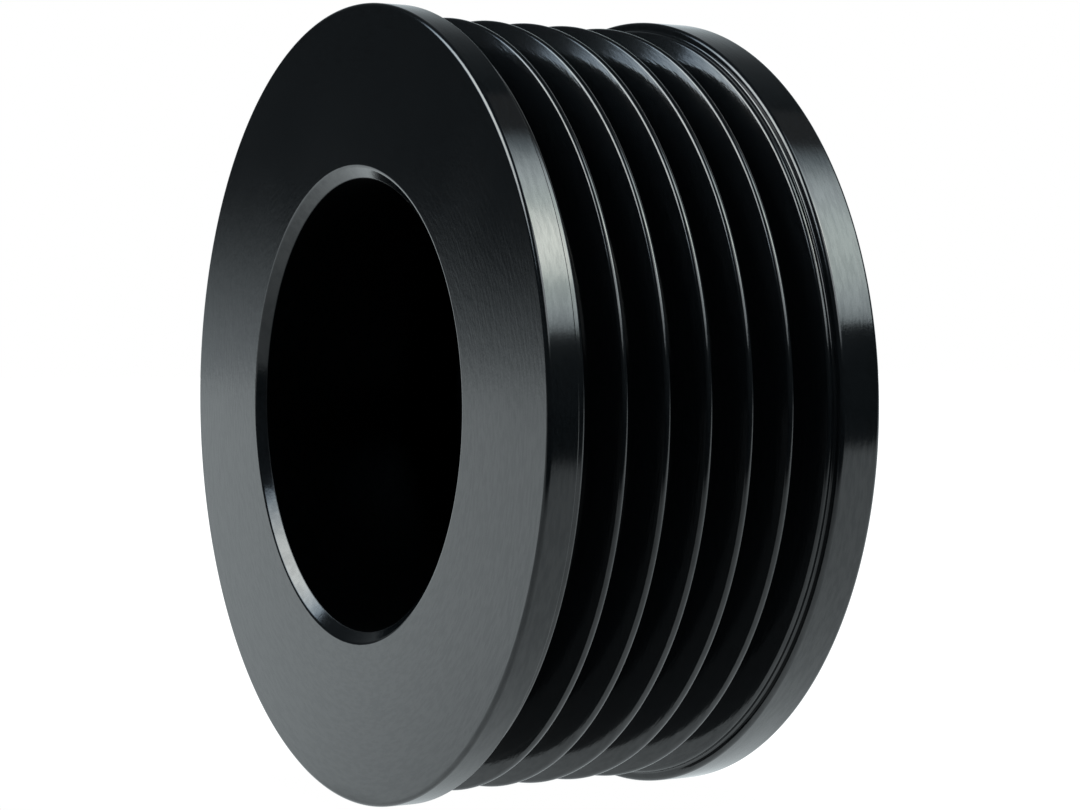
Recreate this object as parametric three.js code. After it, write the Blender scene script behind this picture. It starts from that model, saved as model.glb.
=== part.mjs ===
// Six-groove ribbed-belt pulley, turned from one bar of aluminium.
//
// Millimetres. The axis runs along Y: the front face, with the counterbore, looks towards -Y
// and the rear face towards +Y. The origin is on the axis, halfway between the two faces.

import * as THREE from 'three';

// ---- driving dimensions ----

const WIDTH = 28.5;              // front face to rear face
const FLANGE_RADIUS = 31.75;     // both flanges, 2.5 in across
const SEGMENTS = 72;             // facets around the axis
const HALF_FACET = Math.PI / SEGMENTS;   // turns a facet, not an edge, straight down

// Ribbed-belt section: pitch and flank angle are the standard's for PK belts
const GROOVE_COUNT = 6;
const PITCH = 3.56;
const FLANK = THREE.MathUtils.degToRad(20);   // each flank from the plane across the axis
const CREST_RADIUS = 31;         // from the axis to the tip of a crest
const TIP_ROUND = 0.29;
const ROOT_ROUND = 0.45;
const FIRST_GROOVE = 4.95;       // front face to the middle of the first groove

// Flanges
const FLANGE_ROUND = 0.35;       // round at their outer corners
const FRONT_SHOULDER = 2.5;      // front face to the back of the front flange
const FRONT_SHOULDER_EDGE = 0.12; // chamfer at the top of that shoulder
const REAR_SHOULDER = 24.88;     // front face to the front of the rear flange

// Counterbore for the shaft nut
const COUNTERBORE_RADIUS = 18.05;
const MOUTH_CHAMFER = 0.9;       // radial
const MOUTH_CHAMFER_DEPTH = 0.7; // along the axis
const COUNTERBORE_DEPTH = 19.5;
const FLOOR_FILLET = 0.8;

// Shaft bore through the web
const SHAFT_RADIUS = 8.5;
const SHAFT_CHAMFER = 0.5;

// ---- profile helpers: a point is (distance from the axis, distance behind the front face) ----

const point = (radius, depth) => new THREE.Vector2(radius, depth - WIDTH / 2);

// Points on a round of the given radius, from one angle to another; 0 looks away from the
// axis and 90 degrees towards the rear
function round(centreRadius, centreDepth, radius, fromAngle, toAngle, steps) {
  return Array.from({ length: steps + 1 }, (_, i) => {
    const angle = THREE.MathUtils.lerp(fromAngle, toAngle, i / steps);
    return point(
      centreRadius + radius * Math.cos(angle),
      centreDepth + radius * Math.sin(angle),
    );
  });
}

// ---- groove section: rounds joined by straight flanks ----

const QUARTER_TURN = Math.PI / 2;
const FLANK_NORMAL = QUARTER_TURN - FLANK;   // a flank's normal, from straight out

// Depth at which a tip round and a root round, half a pitch apart, share one flank
const GROOVE_DEPTH = TIP_ROUND + ROOT_ROUND
  + (PITCH / 2 - (TIP_ROUND + ROOT_ROUND) / Math.sin(FLANK_NORMAL)) / Math.tan(FLANK);

const TIP_CENTRE = CREST_RADIUS - TIP_ROUND;
const ROOT_CENTRE = CREST_RADIUS - GROOVE_DEPTH + ROOT_ROUND;
const FIRST_CREST = FIRST_GROOVE - PITCH / 2;
const LAST_CREST = FIRST_GROOVE + PITCH * (GROOVE_COUNT - 0.5);

const root = (depth) => round(
  ROOT_CENTRE, depth, ROOT_ROUND, Math.PI + FLANK_NORMAL, Math.PI - FLANK_NORMAL, 2,
);
const crest = (depth) => round(TIP_CENTRE, depth, TIP_ROUND, -FLANK_NORMAL, FLANK_NORMAL, 2);

// ---- the turned profile, front to rear on the outside, then back along the bores ----

// A flange's outer corner, on its front side (-1) or its rear side (1)
function flangeCorner(depth, side) {
  const centreRadius = FLANGE_RADIUS - FLANGE_ROUND;
  const centreDepth = depth - side * FLANGE_ROUND;
  return side < 0
    ? round(centreRadius, centreDepth, FLANGE_ROUND, -QUARTER_TURN, 0, 2)
    : round(centreRadius, centreDepth, FLANGE_ROUND, 0, QUARTER_TURN, 2);
}

function frontFlange() {
  return [
    ...flangeCorner(0, -1),
    point(FLANGE_RADIUS, FRONT_SHOULDER - FRONT_SHOULDER_EDGE),
    point(FLANGE_RADIUS - FRONT_SHOULDER_EDGE, FRONT_SHOULDER),
    point(CREST_RADIUS, FRONT_SHOULDER),
    ...round(TIP_CENTRE, FIRST_CREST, TIP_ROUND, 0, FLANK_NORMAL, 1),
  ];
}

function grooves() {
  const outline = [];
  for (let i = 0; i < GROOVE_COUNT; i += 1) {
    const depth = FIRST_GROOVE + i * PITCH;
    outline.push(...root(depth));
    if (i < GROOVE_COUNT - 1) outline.push(...crest(depth + PITCH / 2));
  }
  return outline;
}

function rearFlange() {
  return [
    ...round(TIP_CENTRE, LAST_CREST, TIP_ROUND, -FLANK_NORMAL, 0, 1),
    point(CREST_RADIUS, REAR_SHOULDER),
    ...flangeCorner(REAR_SHOULDER, -1),
    ...flangeCorner(WIDTH, 1),
  ];
}

function shaftBore() {
  return [
    point(SHAFT_RADIUS + SHAFT_CHAMFER, WIDTH),
    point(SHAFT_RADIUS, WIDTH - SHAFT_CHAMFER),
    point(SHAFT_RADIUS, COUNTERBORE_DEPTH + SHAFT_CHAMFER),
    point(SHAFT_RADIUS + SHAFT_CHAMFER, COUNTERBORE_DEPTH),
  ];
}

function counterbore() {
  return [
    ...round(
      COUNTERBORE_RADIUS - FLOOR_FILLET, COUNTERBORE_DEPTH - FLOOR_FILLET, FLOOR_FILLET,
      QUARTER_TURN, 0, 3,
    ),
    point(COUNTERBORE_RADIUS, MOUTH_CHAMFER_DEPTH),
    point(COUNTERBORE_RADIUS + MOUTH_CHAMFER, 0),
  ];
}

function turnedBody() {
  const profile = [
    ...frontFlange(), ...grooves(), ...rearFlange(), ...shaftBore(), ...counterbore(),
  ];
  profile.push(profile[0].clone());
  return new THREE.LatheGeometry(profile, SEGMENTS, HALF_FACET);
}

// ---- assembly ----

const blackAnodised = new THREE.MeshStandardMaterial({
  name: 'black_anodised_aluminium',
  color: 0x17181a,
  roughness: 0.32,
  metalness: 0.6,
});

const group = new THREE.Group();
group.name = 'ribbed_belt_pulley';

const pulleyBody = new THREE.Mesh(turnedBody(), blackAnodised);
pulleyBody.name = 'pulley_body';
group.add(pulleyBody);

export default group;
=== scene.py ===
"""Looks for the ribbed-belt pulley: a smooth turned body in black anodised aluminium, in a pale
studio. The softboxes, the backdrop and the table's shades show only in reflections."""

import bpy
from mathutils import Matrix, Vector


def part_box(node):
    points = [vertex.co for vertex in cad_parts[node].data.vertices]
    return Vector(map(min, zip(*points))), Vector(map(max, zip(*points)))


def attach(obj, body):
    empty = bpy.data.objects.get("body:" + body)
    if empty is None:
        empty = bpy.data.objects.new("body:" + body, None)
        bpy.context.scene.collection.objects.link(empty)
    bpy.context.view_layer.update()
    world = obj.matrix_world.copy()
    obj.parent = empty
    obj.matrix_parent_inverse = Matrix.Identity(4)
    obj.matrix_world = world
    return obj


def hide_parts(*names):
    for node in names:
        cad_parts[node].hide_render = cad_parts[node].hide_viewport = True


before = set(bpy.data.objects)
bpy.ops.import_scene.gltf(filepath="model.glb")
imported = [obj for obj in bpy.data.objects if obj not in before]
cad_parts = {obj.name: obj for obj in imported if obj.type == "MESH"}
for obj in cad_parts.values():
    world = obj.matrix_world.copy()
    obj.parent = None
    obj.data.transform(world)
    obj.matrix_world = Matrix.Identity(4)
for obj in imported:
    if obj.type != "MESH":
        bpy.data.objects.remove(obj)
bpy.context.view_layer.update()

import math

import bpy
from mathutils import Vector

MM = 0.001
NODE = "pulley_body"

# ---- sizes, in millimetres; the outside comes from the frame ----

low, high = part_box(NODE)
WIDTH = (high.y - low.y) / MM
CAD_SEGMENTS = 72            # the frame's facets, one of them flat on each side of its box
FLANGE_RADIUS = (high.x - low.x) / 2 / MM / math.cos(math.pi / CAD_SEGMENTS)
SEGMENTS = 320               # steps around the axis here

# Ribbed-belt section
GROOVE_COUNT = 6
PITCH = 3.56
FLANK = math.radians(20)
CREST_RADIUS = 31.0
TIP_ROUND = 0.29
ROOT_ROUND = 0.45
FIRST_GROOVE = 4.95          # front face to the middle of the first groove

# Flanges
FLANGE_ROUND = 0.35          # their outer corners
FRONT_SHOULDER = 2.5         # front face to the back of the front flange
FRONT_SHOULDER_ROUND = 0.12
REAR_SHOULDER = 24.88        # front face to the front of the rear flange
SHOULDER_FILLET = 0.2        # at the foot of both shoulders

# Counterbore and shaft bore
COUNTERBORE_RADIUS = 18.05
MOUTH_CHAMFER = 0.9
MOUTH_CHAMFER_DEPTH = 0.7
COUNTERBORE_DEPTH = 19.5
FLOOR_FILLET = 0.8
SHAFT_RADIUS = 8.5
SHAFT_CHAMFER = 0.5

MOUTH_EDGE = 0.45            # round between the front face and the mouth's chamfer
BROKEN_EDGE = 0.06           # round on the edges that are left nearly sharp


# ---- the turned outline: corners as (radius, depth behind the front face, round) ----

def groove_corners():
    """The V grooves as sharp corners: six roots with five crests between them."""
    apex = CREST_RADIUS - TIP_ROUND + TIP_ROUND / math.sin(FLANK)
    bottom = apex - PITCH / 2 / math.tan(FLANK)
    corners = []
    for i in range(GROOVE_COUNT):
        depth = FIRST_GROOVE + i * PITCH
        corners.append((bottom, depth, ROOT_ROUND))
        if i < GROOVE_COUNT - 1:
            corners.append((apex, depth + PITCH / 2, TIP_ROUND))
    return corners


def flank_depth(radius, groove, side):
    """Depth at which a groove's front (side -1) or rear (side 1) flank has this radius."""
    bottom, depth, _ = groove
    return depth + side * (radius - bottom) * math.tan(FLANK)


def outline_corners():
    grooves = groove_corners()
    return [
        (FLANGE_RADIUS, 0, FLANGE_ROUND),
        (FLANGE_RADIUS, FRONT_SHOULDER, FRONT_SHOULDER_ROUND),
        (CREST_RADIUS, FRONT_SHOULDER, SHOULDER_FILLET),
        (CREST_RADIUS, flank_depth(CREST_RADIUS, grooves[0], -1), TIP_ROUND),
        *grooves,
        (CREST_RADIUS, flank_depth(CREST_RADIUS, grooves[-1], 1), TIP_ROUND),
        (CREST_RADIUS, REAR_SHOULDER, SHOULDER_FILLET),
        (FLANGE_RADIUS, REAR_SHOULDER, FLANGE_ROUND),
        (FLANGE_RADIUS, WIDTH, FLANGE_ROUND),
        (SHAFT_RADIUS + SHAFT_CHAMFER, WIDTH, BROKEN_EDGE),
        (SHAFT_RADIUS, WIDTH - SHAFT_CHAMFER, BROKEN_EDGE),
        (SHAFT_RADIUS, COUNTERBORE_DEPTH + SHAFT_CHAMFER, BROKEN_EDGE),
        (SHAFT_RADIUS + SHAFT_CHAMFER, COUNTERBORE_DEPTH, BROKEN_EDGE),
        (COUNTERBORE_RADIUS, COUNTERBORE_DEPTH, FLOOR_FILLET),
        (COUNTERBORE_RADIUS, MOUTH_CHAMFER_DEPTH, BROKEN_EDGE),
        (COUNTERBORE_RADIUS + MOUTH_CHAMFER, 0, MOUTH_EDGE),
    ]


ARC_STEP = math.radians(12)   # turn between two points of a round


def rounded(corners):
    """Each corner as the points of its round, with the outward normal at each point."""
    points, normals = [], []
    for i, (radius, depth, size) in enumerate(corners):
        here = Vector((radius, depth))
        before = Vector(corners[i - 1][:2]) - here
        after = Vector(corners[(i + 1) % len(corners)][:2]) - here
        before.normalize()
        after.normalize()
        opening = before.angle(after)
        centre = here + (before + after).normalized() * size / math.sin(opening / 2)
        turn = math.pi - opening
        convex = before.x * after.y - before.y * after.x > 0
        start = here + before * size / math.tan(opening / 2) - centre
        steps = max(2, math.ceil(turn / ARC_STEP))
        for step in range(steps + 1):
            angle = turn * step / steps * (1 if convex else -1)
            spoke = Vector((
                start.x * math.cos(angle) + start.y * math.sin(angle),
                start.y * math.cos(angle) - start.x * math.sin(angle),
            ))
            points.append(centre + spoke)
            normals.append(spoke.normalized() * (1 if convex else -1))
    return points, normals


def turned_body():
    """The outline revolved about Y, with exact normals, so that flats stay flat."""
    points, normals = rounded(outline_corners())
    count = len(points)
    vertices, vertex_normals, faces = [], [], []
    for s in range(SEGMENTS):
        angle = 2 * math.pi * s / SEGMENTS
        across, up = math.cos(angle), math.sin(angle)
        for point, normal in zip(points, normals):
            y = (point.y - WIDTH / 2) * MM
            vertices.append((point.x * MM * across, y, point.x * MM * up))
            vertex_normals.append((normal.x * across, normal.y, normal.x * up))
        this, following = s * count, (s + 1) % SEGMENTS * count
        for i in range(count):
            j = (i + 1) % count
            faces.append((this + i, following + i, following + j, this + j))
    mesh = bpy.data.meshes.new("turned_body")
    mesh.from_pydata(vertices, [], faces)
    mesh.shade_smooth()
    mesh.normals_split_custom_set_from_vertices(vertex_normals)
    body = bpy.data.objects.new("turned_body", mesh)
    bpy.context.scene.collection.objects.link(body)
    return body


# ---- node helpers ----

def empty_tree(owner):
    owner.use_nodes = True
    owner.node_tree.nodes.clear()
    return owner.node_tree


def add(tree, kind, inputs=None, **settings):
    """A node of this kind. An input's value is a number, a colour or another node's socket."""
    node = tree.nodes.new(kind)
    for name, value in settings.items():
        setattr(node, name, value)
    for name, value in (inputs or {}).items():
        if isinstance(value, bpy.types.NodeSocket):
            tree.links.new(value, node.inputs[name])
        else:
            node.inputs[name].default_value = value
    return node


def blend(tree, value, start, end, low_value, high_value):
    """low_value up to start, high_value from end on, and a smooth step between."""
    return add(tree, "ShaderNodeMapRange", {
        "Value": value, "From Min": start, "From Max": end, "To Min": low_value, "To Max": high_value,
    }, interpolation_type="SMOOTHSTEP").outputs["Result"]


def arithmetic(tree, operation, *values):
    return add(tree, "ShaderNodeMath", dict(enumerate(values)), operation=operation).outputs["Value"]


def ramp(tree, value, stops):
    """The colour for this value. Each stop is a place and a colour, and the places rise."""
    node = add(tree, "ShaderNodeValToRGB", {"Fac": value})
    elements = node.color_ramp.elements
    for _ in stops[2:]:
        elements.new(0.5)
    for element, (place, colour) in zip(elements, stops):
        element.position = place
        element.color = (*colour, 1)
    return node.outputs["Color"]


def noise(tree, place, cells, detail, roughness):
    return add(tree, "ShaderNodeTexNoise", {
        "Vector": place, "Scale": cells, "Detail": detail, "Roughness": roughness,
    }).outputs["Fac"]


def new_material(name):
    material = bpy.data.materials.new(name)
    return material, empty_tree(material)


def shine(tree, colour, strength):
    light = add(tree, "ShaderNodeEmission", {"Color": colour, "Strength": strength})
    add(tree, "ShaderNodeOutputMaterial", {"Surface": light.outputs["Emission"]})


# ---- black anodised aluminium ----

STREAKS_ACROSS = 3600.0      # noise cells in a metre across the tool's path
STREAKS_AROUND = 20.0        # noise cells in a radian around the axis
AXIAL_SHARE = 0.8            # what a step along the axis counts for, against one outwards
GRAIN_CELLS = 5200.0         # noise cells in a metre
PATCH_CELLS = 90.0

ROUGHNESS = (0.10, 0.13)     # lowest and highest, from patch to patch
BORE_ROUGHNESS = 0.3         # more than that in the bores
STREAK_METAL = 0.16          # the largest metallic share of a streak
DARKEST = (0.0010, 0.0014, 0.0018)
LIGHTEST = (0.0042, 0.0052, 0.0062)


def black_anodise():
    """Semi-gloss black with the short streaks that turning leaves around the axis, on a fine grain.
    A small metallic share dulls the streaks. Painted shade in the bores: they are made wholly
    metallic, and a near-black metal reflects almost nothing, which keeps these recesses black."""
    material, tree = new_material("black_anodised_aluminium")
    place = add(tree, "ShaderNodeTexCoord").outputs["Object"]
    parts = add(tree, "ShaderNodeSeparateXYZ", {"Vector": place}).outputs

    flat = add(tree, "ShaderNodeCombineXYZ", {"X": parts["X"], "Z": parts["Z"]}).outputs["Vector"]
    radius = add(tree, "ShaderNodeVectorMath", {0: flat}, operation="LENGTH").outputs["Value"]
    spoke = add(tree, "ShaderNodeVectorMath", {0: flat}, operation="NORMALIZE").outputs["Vector"]
    spoke = add(tree, "ShaderNodeSeparateXYZ", {"Vector": spoke}).outputs

    # Streaks are several times as long around the axis as they are wide
    across = arithmetic(tree, "MULTIPLY_ADD", parts["Y"], AXIAL_SHARE, radius)
    streak_place = add(tree, "ShaderNodeCombineXYZ", {
        "X": arithmetic(tree, "MULTIPLY", across, STREAKS_ACROSS),
        "Y": arithmetic(tree, "MULTIPLY", spoke["X"], STREAKS_AROUND),
        "Z": arithmetic(tree, "MULTIPLY", spoke["Z"], STREAKS_AROUND),
    }).outputs["Vector"]
    streaks = noise(tree, streak_place, 1.0, detail=2.0, roughness=0.6)
    grain = noise(tree, place, GRAIN_CELLS, detail=2.0, roughness=0.6)
    patches = noise(tree, place, PATCH_CELLS, detail=4.0, roughness=0.55)

    # Painted shade and rougher finish: 1 inside the bores, 0 on the outside and on the rear face
    rear_face = WIDTH / 2
    bore_shade_and_finish = arithmetic(
        tree, "MULTIPLY",
        blend(tree, radius, COUNTERBORE_RADIUS * MM, (COUNTERBORE_RADIUS + 0.1) * MM, 1.0, 0.0),
        blend(tree, parts["Y"], (rear_face - 0.3) * MM, (rear_face - 0.2) * MM, 1.0, 0.0),
    )

    bump = add(tree, "ShaderNodeBump", {
        "Height": arithmetic(tree, "MULTIPLY_ADD", grain, 0.2, streaks),
        "Strength": 0.3, "Distance": 0.02 * MM,
    }).outputs["Normal"]
    worn = blend(tree, patches, 0.3, 0.7, *ROUGHNESS)
    dulled = blend(tree, streaks, 0.38, 0.64, 0.0, STREAK_METAL)
    mottle = arithmetic(tree, "MULTIPLY_ADD", grain, 0.5, arithmetic(tree, "MULTIPLY", streaks, 0.5))

    shader = add(tree, "ShaderNodeBsdfPrincipled", {
        "Base Color": ramp(tree, mottle, [(0.35, DARKEST), (0.65, LIGHTEST)]),
        # painted shade: the bores are wholly metallic, so they reflect almost nothing and stay dark
        "Metallic": arithmetic(tree, "MAXIMUM", bore_shade_and_finish, dulled),
        "Roughness": arithmetic(tree, "MULTIPLY_ADD", bore_shade_and_finish, BORE_ROUGHNESS, worn),
        "Normal": bump,
        "IOR": 1.53,
    })
    add(tree, "ShaderNodeOutputMaterial", {"Surface": shader.outputs["BSDF"]})
    return material


body = turned_body()
body.data.materials.append(black_anodise())
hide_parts(NODE)
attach(body, "root")


# ---- studio ----

def direction(azimuth, elevation):
    """Unit vector at this azimuth from +X towards +Y and this height above the horizon, in degrees."""
    a, e = math.radians(azimuth), math.radians(elevation)
    return Vector((math.cos(e) * math.cos(a), math.cos(e) * math.sin(a), math.sin(e)))


def stage_mesh(name, corners, material):
    mesh = bpy.data.meshes.new(name)
    mesh.from_pydata(corners, [], [(0, 1, 2, 3)])
    mesh.materials.append(material)
    sheet = bpy.data.objects.new(name, mesh)
    bpy.context.scene.collection.objects.link(sheet)
    return sheet


WHITE = (1, 1, 1, 1)
ROOM_LEVEL = 0.035           # the dark room's brightness in reflections
GLOW_AZIMUTH = 140           # where the backdrop is brightest


def camera_ray(tree):
    return add(tree, "ShaderNodeLightPath").outputs["Is Camera Ray"]


def along(tree, vector, azimuth):
    """How far this vector goes towards a compass direction."""
    return add(tree, "ShaderNodeVectorMath", {0: vector, 1: direction(azimuth, 0)},
               operation="DOT_PRODUCT").outputs["Value"]


# The floor, in metres. All but its size shows only in reflections.
FLOOR_SIZE = 6.0
TABLE_TINT = (0.94, 1.03, 1.06, 1)
# Painted contact shadow: the table's glow is made darker under the pulley.
SHADE = 0.57                 # brightness under the pulley
SHADE_BESIDE = (0.0, 0.026)  # the shade fades between these distances along X
SHADE_IN_FRONT = (0.012, 0.018)   # and between these along Y
TABLE_EDGE_AZIMUTH = -25     # the table ends a short way in front of the pulley
TABLE_EDGE = (0.08, 0.115)
# Painted light: the table's glow is made brighter on its far side.
FAR_SIDE_AZIMUTH = 130       # the table is brightest on this side
FAR_SIDE = (-0.082, 0.017)
SIDE_LEVELS = (0.56, 1.24)   # its brightness before and beyond those distances


def floor():
    """White for the camera. In reflections, a glowing white table with a painted shadow under the
    pulley and painted light that makes its far side brighter, ending in front."""
    material, tree = new_material("white_floor")
    place = add(tree, "ShaderNodeTexCoord").outputs["Object"]
    axes = add(tree, "ShaderNodeSeparateXYZ", {"Vector": place}).outputs
    # painted contact shadow in the table's glow, fading beside and in front of the pulley
    beside = blend(tree, arithmetic(tree, "ABSOLUTE", axes["X"]), *SHADE_BESIDE, SHADE, 1.0)
    in_front = blend(tree, arithmetic(tree, "ABSOLUTE", axes["Y"]), *SHADE_IN_FRONT, SHADE, 1.0)
    painted_contact_shadow = arithmetic(tree, "MAXIMUM", beside, in_front)
    table = blend(tree, along(tree, place, TABLE_EDGE_AZIMUTH), *TABLE_EDGE, 1.0, ROOM_LEVEL)
    painted_far_light = blend(tree, along(tree, place, FAR_SIDE_AZIMUTH), *FAR_SIDE, *SIDE_LEVELS)
    reflected = arithmetic(tree, "MULTIPLY", arithmetic(tree, "MULTIPLY", painted_contact_shadow, table), painted_far_light)
    colour = add(tree, "ShaderNodeMix", {
        "Factor": camera_ray(tree), "A": TABLE_TINT, "B": WHITE,
    }, data_type="RGBA").outputs["Result"]
    shine(tree, colour, arithmetic(tree, "MAXIMUM", reflected, camera_ray(tree)))
    half = FLOOR_SIZE / 2
    level = -FLANGE_RADIUS * MM
    stage_mesh("floor", [(-half, -half, level), (half, -half, level),
                         (half, half, level), (-half, half, level)], material)


SOFTBOX_DISTANCE = 0.8       # metres from the pulley
FALLOFF_REACH = 1.3          # distance from the hot spot at the end of its colour ramp


def softbox(name, azimuth, elevation, half_width, half_height, hot_spot, strength, rings):
    """A lit panel facing the pulley. Its half sizes are in degrees as the pulley sees it. Its rings
    give the colour at a distance from the hot spot, both in half sizes. Reflections see the panel
    and the camera doesn't."""
    material, tree = new_material(name)
    place = add(tree, "ShaderNodeTexCoord").outputs["Object"]
    off_centre = add(tree, "ShaderNodeVectorMath", {0: place, 1: (*hot_spot, 0)}, operation="DISTANCE")
    reach = arithmetic(tree, "DIVIDE", off_centre.outputs["Value"], FALLOFF_REACH)
    shine(tree, ramp(tree, reach, [(far / FALLOFF_REACH, colour) for far, colour in rings]), strength)
    panel = stage_mesh(name, [(-1, -1, 0), (1, -1, 0), (1, 1, 0), (-1, 1, 0)], material)
    towards = direction(azimuth, elevation)
    panel.location = towards * SOFTBOX_DISTANCE
    panel.rotation_euler = towards.to_track_quat("Z", "Y").to_euler()
    panel.scale = (SOFTBOX_DISTANCE * math.tan(math.radians(half_width)),
                   SOFTBOX_DISTANCE * math.tan(math.radians(half_height)), 1)
    panel.visible_camera = False


ROOM_TINT = (0.90, 1.01, 1.06, 1)
# Backdrop brightness against the look direction's share towards GLOW_AZIMUTH
BACKDROP = [(0.45, 0.0), (0.62, 0.04), (0.72, 0.08), (0.80, 0.19), (0.88, 0.38), (0.94, 0.57),
            (0.98, 0.85)]

# Where the far end of the table is in reflections: heights of the look direction
TABLE_END_SLOPE = 0.175      # how much higher it is towards the backdrop than beside it
TABLE_END_BESIDE = -0.055
TABLE_END_BLUR = (-0.045, 0.04)   # it fades out from this far below that height to this far above
TABLE_END_LEVEL = 0.80       # its brightness


def surroundings():
    """White for the camera. In reflections, a dark room with a backdrop that glows on one side."""
    world = bpy.data.worlds.new("studio")
    bpy.context.scene.world = world
    tree = empty_tree(world)
    look = add(tree, "ShaderNodeTexCoord").outputs["Generated"]
    height = add(tree, "ShaderNodeSeparateXYZ", {"Vector": look}).outputs["Z"]
    facing = along(tree, look, GLOW_AZIMUTH)
    glow = ramp(tree, facing, [(place, (level, level, level)) for place, level in BACKDROP])

    end_height = arithmetic(tree, "MULTIPLY_ADD", facing, TABLE_END_SLOPE, TABLE_END_BESIDE)
    above_end = arithmetic(tree, "SUBTRACT", height, end_height)
    table = blend(tree, above_end, *TABLE_END_BLUR, TABLE_END_LEVEL, 0.0)
    room = arithmetic(tree, "ADD", arithmetic(tree, "MAXIMUM", glow, table), ROOM_LEVEL)

    reflected = add(tree, "ShaderNodeBackground", {"Color": ROOM_TINT, "Strength": room})
    seen = add(tree, "ShaderNodeBackground", {"Color": WHITE, "Strength": 1.0})
    mix = add(tree, "ShaderNodeMixShader", {
        "Fac": camera_ray(tree), 1: reflected.outputs["Background"], 2: seen.outputs["Background"],
    })
    add(tree, "ShaderNodeOutputWorld", {"Surface": mix.outputs["Shader"]})


# The photograph's viewpoint
SENSOR_WIDTH = 36.0          # mm, as the lens
CAMERA_LENS = 86.05
CAMERA_PLACE = Vector((186.06, -102.70, 4.37))   # mm from the pulley's centre
CAMERA_LOOK = Vector((-0.86905, 0.49427, -0.02119))


def camera():
    data = bpy.data.cameras.new("camera")
    data.sensor_width = SENSOR_WIDTH
    data.lens = CAMERA_LENS
    data.clip_start = 0.01
    eye = bpy.data.objects.new("camera", data)
    eye.location = CAMERA_PLACE * MM
    eye.rotation_euler = CAMERA_LOOK.to_track_quat("-Z", "Y").to_euler()
    bpy.context.scene.collection.objects.link(eye)
    bpy.context.scene.camera = eye


floor()
surroundings()
softbox("right_softbox", azimuth=48, elevation=46, half_width=28, half_height=27,
        hot_spot=(-0.47, -0.11), strength=13.0, rings=[
            (0.22, (0.95, 1.00, 0.93)), (0.45, (0.49, 0.56, 0.54)), (0.70, (0.37, 0.42, 0.43)),
            (1.00, (0.10, 0.12, 0.13)), (1.20, (0.01, 0.01, 0.01))])
softbox("front_softbox", azimuth=-109, elevation=42, half_width=27.5, half_height=20,
        hot_spot=(0.13, 0), strength=12.0, rings=[
            (0.00, (0.97, 1.00, 0.97)), (0.50, (0.76, 0.80, 0.79)), (0.80, (0.50, 0.55, 0.58)),
            (0.98, (0.30, 0.36, 0.40)), (1.12, (0.15, 0.19, 0.23)), (1.25, (0.03, 0.04, 0.05))])
softbox("side_softbox", azimuth=4, elevation=32, half_width=20, half_height=16,
        hot_spot=(0, 0), strength=5.5, rings=[(0.00, (0.93, 1.00, 1.04)), (1.25, (0.15, 0.17, 0.18))])
camera()
bpy.context.scene.view_settings.view_transform = "Standard"
